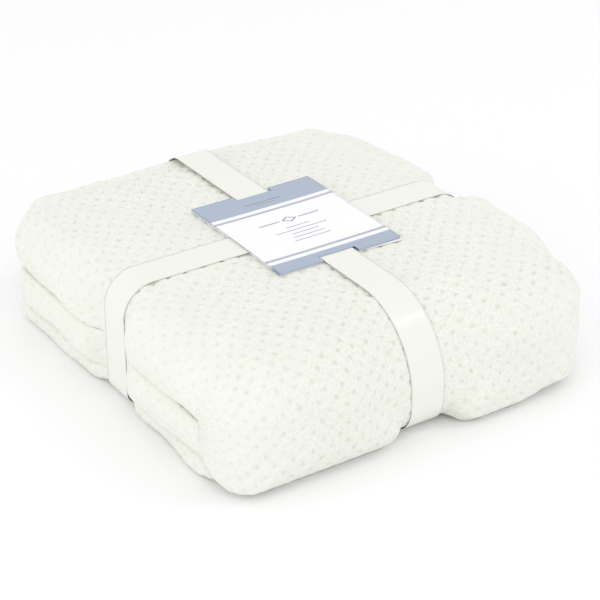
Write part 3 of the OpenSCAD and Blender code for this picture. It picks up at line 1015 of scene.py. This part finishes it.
def satin_strip(ribbon, loop, lap, seed):
    """A strip of satin along a loop in the ribbon's own plane, lapped where it closes."""
    line = resample(np.vstack([loop, lap]), 3 * MM)
    across = np.linspace(-RIBBON_WIDTH / 2, RIBBON_WIDTH / 2, 15)
    tangent = np.gradient(line, axis=0)
    tangent /= np.linalg.norm(tangent, axis=1, keepdims=True)
    outward = np.stack([-tangent[:, 1], tangent[:, 0]], -1)
    flat = np.stack(np.meshgrid(distances(line), across, indexing="ij"), -1)
    ripple = field(flat, 60 * MM, seed) * 0.07 * MM
    edge_lift = (np.abs(across) / (RIBBON_WIDTH / 2)) ** 6 * 0.10 * MM
    height = ripple + edge_lift[None, :]
    plane = line[:, None] + outward[:, None] * height[..., None]
    half = outward[:, None] * (RIBBON_THICK / 2)
    layers = []
    for side in (1, -1):
        offset = plane + side * half
        wide = np.broadcast_to(across[None, :], offset.shape[:2]) + ribbon.place
        plan = [wide, wide]
        plan[ribbon.along] = offset[..., 0]
        layers.append(np.stack([*plan, offset[..., 1]], -1))
    grid = np.concatenate([layers[0], layers[1][:, ::-1]], axis=1)
    coords = np.concatenate([flat[..., ::-1], flat[:, ::-1, ::-1]], axis=1)
    piece = finish_mesh(ribbon.way + "_satin", grid, tube_faces(*grid.shape[:2]), coords)
    return piece, distances(line)[-1]


# ---- Card sleeve ----
CARD_WIDTH = CARD_HI.x - CARD_LO.x
CARD_MIDDLE = (CARD_LO.x + CARD_HI.x) / 2
CARD_THICK = 0.36 * MM
NOTCH_HALF = 22 * MM
NOTCH_DEPTH = 8 * MM


def sleeve_profile(front):
    """Side view of the printed panel or of the plain one, in Y and Z."""
    low, high = CARD_LO.y, CARD_HI.y
    thick = 0.4 * MM
    if front:
        z = CARD_HI.z - thick / 2
        tab_z = CARD_LO.z + thick / 2
        radius = (z - tab_z) / 2
        face = np.stack([np.linspace(high, low + radius, 60), np.full(60, z)], -1)
        turn = arc((low + radius, (z + tab_z) / 2), radius, 90, 270, 9)[1:]
        tab = np.stack([np.linspace(low + radius, low + 15 * MM, 7)[1:], np.full(6, tab_z)], -1)
        return np.vstack([face, turn, tab])
    z = CARD_BACK_LO.z + thick / 2
    top = CARD_HI.z - thick / 2
    radius = (top - z) / 2
    turn = arc((high - radius, (z + top) / 2), radius, 90, -90, 9)
    face = np.stack([np.linspace(high - radius, low, 60)[1:], np.full(59, z)], -1)
    return np.vstack([turn, face])


def notched(line):
    """The side view with points added where the notches end."""
    travel = distances(line)
    stops = []
    for y in (CARD_LO.y + NOTCH_DEPTH, CARD_HI.y - NOTCH_DEPTH):
        for k in range(len(line) - 1):
            a, b = line[k, 0], line[k + 1, 0]
            if (a - y) * (b - y) < 0:
                stops.append(travel[k] + (travel[k + 1] - travel[k]) * (y - a) / (b - a))
    at = np.unique(np.round(np.r_[travel, stops], 9))
    return np.stack([np.interp(at, travel, line[:, k]) for k in range(2)], -1)


def card_layers(line, across, share, front):
    """The two faces of a panel: the printed one bows up at its edges, the plain one peeks out."""
    tangent = np.gradient(line, axis=0)
    tangent /= np.linalg.norm(tangent, axis=1, keepdims=True)
    outward = np.stack([tangent[:, 1], -tangent[:, 0]], -1)
    reach = across[None, :] / (CARD_WIDTH / 2)
    share = share[:, None]
    layers = []
    for side in (1, -1):
        face = line + outward * side * CARD_THICK / 2
        y = face[:, :1] + 0 * reach
        z = face[:, 1:] + 0 * reach
        x = CARD_MIDDLE + across[None, :] + 0 * y
        if front:
            on_top = line[:, 1:] > CARD_HI.z - 0.5 * MM
            z = z + np.abs(reach) ** 3 * (0.25 + 0.6 * np.sin(share * math.pi)) * MM * on_top
        else:
            y = y - smooth(0.25, 1.0, reach) * share ** 2 * 3.4 * MM
            x = x + share ** 2 * 1.2 * MM
        layers.append(np.stack([x, y, z], -1).reshape(-1, 3))
    return np.vstack(layers)


def cut_faces(keep):
    """Faces of two layers and of the rims between them, for the cells to keep."""
    cols = keep.shape[1] + 1
    count = (keep.shape[0] + 1) * cols
    kept = np.pad(keep, 1)
    faces = []
    for r, c in np.argwhere(keep).tolist():
        first = r * cols + c
        ring = [first, first + 1, first + cols + 1, first + cols]
        faces.append(ring)
        faces.append([count + k for k in ring[::-1]])
        for k, (down, right) in enumerate(((-1, 0), (0, 1), (1, 0), (0, -1))):
            if not kept[r + 1 + down, c + 1 + right]:
                p, q = ring[k], ring[(k + 1) % 4]
                faces.append([q, p, count + p, count + q])
    return faces


def card_piece(name, front):
    """A folded card panel cut out round the crosswise ribbon."""
    line = notched(sleeve_profile(front))
    even = np.linspace(-CARD_WIDTH / 2, CARD_WIDTH / 2, 41)
    across = np.unique(np.round(np.r_[even, -NOTCH_HALF, NOTCH_HALF], 9))
    share = np.clip((CARD_HI.y - line[:, 0]) / (CARD_HI.y - CARD_LO.y), 0, 1)
    mid_x = (across[1:] + across[:-1]) / 2
    mid_y = (line[1:, 0] + line[:-1, 0]) / 2
    at_notch = (mid_y < CARD_LO.y + NOTCH_DEPTH) | (mid_y > CARD_HI.y - NOTCH_DEPTH)
    keep = ~(at_notch[:, None] & (np.abs(mid_x) < NOTCH_HALF)[None, :])
    coords = np.stack(np.broadcast_arrays(across[None, :] / CARD_WIDTH, share[:, None]), -1)
    verts = card_layers(line, across, share, front)
    piece = finish_mesh(name, verts, cut_faces(keep), np.vstack([coords, coords]))
    drop_loose(piece)
    return piece


def drop_loose(piece):
    """Removes the points that no face uses."""
    bm = bmesh.new()
    bm.from_mesh(piece.data)
    bmesh.ops.delete(bm, geom=[v for v in bm.verts if not v.link_faces], context="VERTS")
    bmesh.ops.recalc_face_normals(bm, faces=bm.faces)
    bm.to_mesh(piece.data)
    bm.free()


# ---- Care label ----
def care_label_piece():
    """A short tape sewn in at its upper edge, hanging with a soft wave."""
    width = LABEL_HI.x - LABEL_LO.x
    top = LABEL_HI.z - 0.6 * MM
    length = top - LABEL_LO.z
    middle = (LABEL_LO.y + LABEL_HI.y) / 2
    thick = 0.35 * MM
    rows, cols = 34, 22
    down = np.linspace(0, 1, rows)[:, None]
    across = np.linspace(-0.5, 0.5, cols)[None, :]
    wave = 0.55 * MM * np.sin(down * 5.2) * (0.4 + 0.6 * down) + 0.25 * MM * np.cos(across * 7) * down
    x = (LABEL_LO.x + LABEL_HI.x) / 2 + across * width + 0 * down
    z = top - down * length + 0 * across
    front = np.stack([x, middle + wave + thick / 2, z], -1)
    rear = np.stack([x, middle + wave - thick / 2, z], -1)
    grid = np.concatenate([front, rear[:, ::-1]], axis=1)
    coords = np.stack(np.broadcast_arrays(across, down), -1)
    coords = np.concatenate([coords, coords[:, ::-1]], axis=1)
    piece = finish_mesh("care_label_tape", grid, tube_faces(rows, 2 * cols), coords)
    drop_loose(piece)
    return piece, (width, length)


# ---- Studio ----
CAMERA_AZIMUTH = -33.62
CAMERA_ELEVATION = 29.05
CAMERA_DISTANCE = 2.14271
CAMERA_RIGHT = 0.00985
CAMERA_UP = 0.04346


def place_camera():
    azimuth, elevation = math.radians(CAMERA_AZIMUTH), math.radians(CAMERA_ELEVATION)
    back = Vector((math.sin(azimuth) * math.cos(elevation), -math.cos(azimuth) * math.cos(elevation),
                   math.sin(elevation)))
    right = (-back).cross(Vector((0, 0, 1))).normalized()
    up = right.cross(-back)
    camera = bpy.data.objects.new("camera", bpy.data.cameras.new("camera"))
    camera.data.lens = 120
    camera.data.sensor_width = 36
    camera.location = back * CAMERA_DISTANCE + right * CAMERA_RIGHT + up * CAMERA_UP
    camera.rotation_mode = "QUATERNION"
    camera.rotation_quaternion = (-back).to_track_quat("-Z", "Y")
    bpy.context.scene.collection.objects.link(camera)
    bpy.context.scene.camera = camera
    bpy.context.scene.view_settings.view_transform = "Standard"


def light_studio():
    world = bpy.data.worlds.new("studio")
    world.use_nodes = True
    sky = world.node_tree.nodes["Background"].inputs
    sky["Color"].default_value = (0.995, 0.995, 1.0, 1)
    sky["Strength"].default_value = 0.965
    bpy.context.scene.world = world
    area_light("key", (-0.6, -1.9, 1.9), 1.6, 5)
    area_light("left_fill", (-2.4, 0.1, 0.9), 1.6, 5.4)
    area_light("sparkle", (1.2, -0.87, 1.98), 0.35, 2.6)


def lay_floor():
    floor = finish_mesh("floor", [(-6, -6, 0), (6, -6, 0), (6, 6, 0), (-6, 6, 0)], [[0, 1, 2, 3]])
    shader = Shader("floor", (0.965, 0.965, 0.97), 0.9)
    shader.rough(shader.range(shader.noise(30), 0.3, 0.7, 0.85, 0.95))
    floor.data.materials.append(shader.material)


def area_light(name, place, size, power):
    light = bpy.data.lights.new(name, "AREA")
    light.size = size
    light.energy = power
    lamp = bpy.data.objects.new(name, light)
    lamp.location = place
    lamp.rotation_mode = "QUATERNION"
    lamp.rotation_quaternion = (Vector((0, 0, 0.06)) - Vector(place)).to_track_quat("-Z", "Y")
    bpy.context.scene.collection.objects.link(lamp)


def settle(piece, body, slot, material, *nodes):
    """Gives a piece its material and its body, and hides the CAD nodes that it stands for; the slot is not
    used.
    """
    piece.data.materials.clear()
    piece.data.materials.append(material)
    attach(piece, body)
    if nodes:
        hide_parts(*nodes)
    return piece


def make_bundles():
    plush = plush_material()
    stands_for = ("top_bundle", "front_fold", "middle_bundle")
    main = settle(blanket_main(), "blanket", "plush_cloth", plush, *stands_for)
    base = settle(blanket_base(), "blanket", "plush_cloth", plush, "bottom_bundle")
    profile = superellipse(TURN_DEPTH, 2 * PLY * 0.985, 28, 2.3)
    paths, grids = [], []
    for k in range(4):
        path, scale = back_turn_path(k)
        paths.append(path)
        grids.append(tufted(tube(path, profile, scale), 0.45 * MM, 90 + k, 130))
    rolls = settle(join_strips("back_turns", paths, grids), "blanket", "plush_cloth", plush)


def make_hems():
    hem, thread = hem_material(), thread_material()
    side_paths = [side_hem_path(offset) for offset in SIDE_OFFSETS]
    profile = superellipse(HEM_DEPTH, PLY * 0.90, 20, 2.6)
    make_hem("side", side_paths, [sweep_on_end(path, profile) for path in side_paths], hem)
    end_paths = [end_hem_path(z) for z in END_HEIGHTS]
    profile = superellipse(HEM_DEPTH, PLY * 0.92, 20, 2.6)
    grids = [tufted(tube(path, profile), 0.3 * MM, 30 + k, 70) for k, path in enumerate(end_paths)]
    make_hem("end", end_paths, grids, hem)
    make_stitches("side", side_paths, (1, 0, 0), thread)
    make_stitches("end", end_paths, (0, 1, 0), thread)


def make_hem(edge, paths, grids, hem):
    """A hem is a strip along the cloth's edges, as wide as it is deep and half of its rounded rim."""
    piece = join_strips(edge + "_hem_edges", paths, grids)
    settle(piece, "blanket", "hem_cloth", hem, edge + "_hem")


def make_stitches(edge, paths, out, thread):
    """Overlocking thread along the rims of the hems, which face out."""
    lines = [zigzag(path, HEM_DEPTH / 2 - 0.3 * MM, 1.7 * MM, 5 * MM, out) for path in paths]
    profile = superellipse(0.9 * MM, 0.9 * MM, 6, 2)
    piece = join_strips(edge + "_hem_stitches", lines, [tube(line, profile, up=out) for line in lines])
    settle(piece, "blanket", "sewing_thread", thread, edge + "_hem_thread")


def make_ribbon(ribbon, seed, satin):
    half = RIBBON_THICK / 2
    low = (ribbon.lo[ribbon.along] + half, ribbon.lo.z + half)
    high = (ribbon.hi[ribbon.along] - half, ribbon.hi.z - half)
    loop = rounded_loop(low, high, ribbon.radii, LAP_START)
    over = low[1] + RIBBON_THICK + 0.2 * MM
    lap = [(LAP_START + 18 * MM, low[1]), (LAP_START - 2 * MM, over), (LAP_END, over)]
    piece, length = satin_strip(ribbon, loop[:-1], lap, seed)
    node = ribbon.way + "_ribbon"
    settle(piece, node, "satin_ribbon", satin, node)


def paint(node, material):
    """Gives a CAD node that stays in view its material."""
    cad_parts[node].data.materials.clear()
    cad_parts[node].data.materials.append(material)


def make_ribbons():
    satin = satin_material()
    make_ribbon(LENGTHWISE, 11, satin)
    make_ribbon(CROSSWISE, 12, satin)
    clear = adhesive_material("clear_adhesive", (0.86, 0.86, 0.84))
    paint("lengthwise_seal", clear)
    paint("crosswise_seal", clear)


def make_card():
    front = card_piece("card_printed_panel", True)
    settle(front, "card", "printed_card", print_material(), "card_front")
    rear = card_piece("card_plain_panel", False)
    settle(rear, "card", "plain_card", paper_material("plain_card", (0.93, 0.93, 0.94)), "card_back")
    paint("card_glue", adhesive_material("card_glue", (0.80, 0.80, 0.77)))


def make_label():
    tape, flat = care_label_piece()
    settle(tape, "care_label", "woven_label", label_material(), "care_label")


place_camera()
light_studio()
lay_floor()
make_bundles()
make_hems()
make_ribbons()
make_card()
make_label()
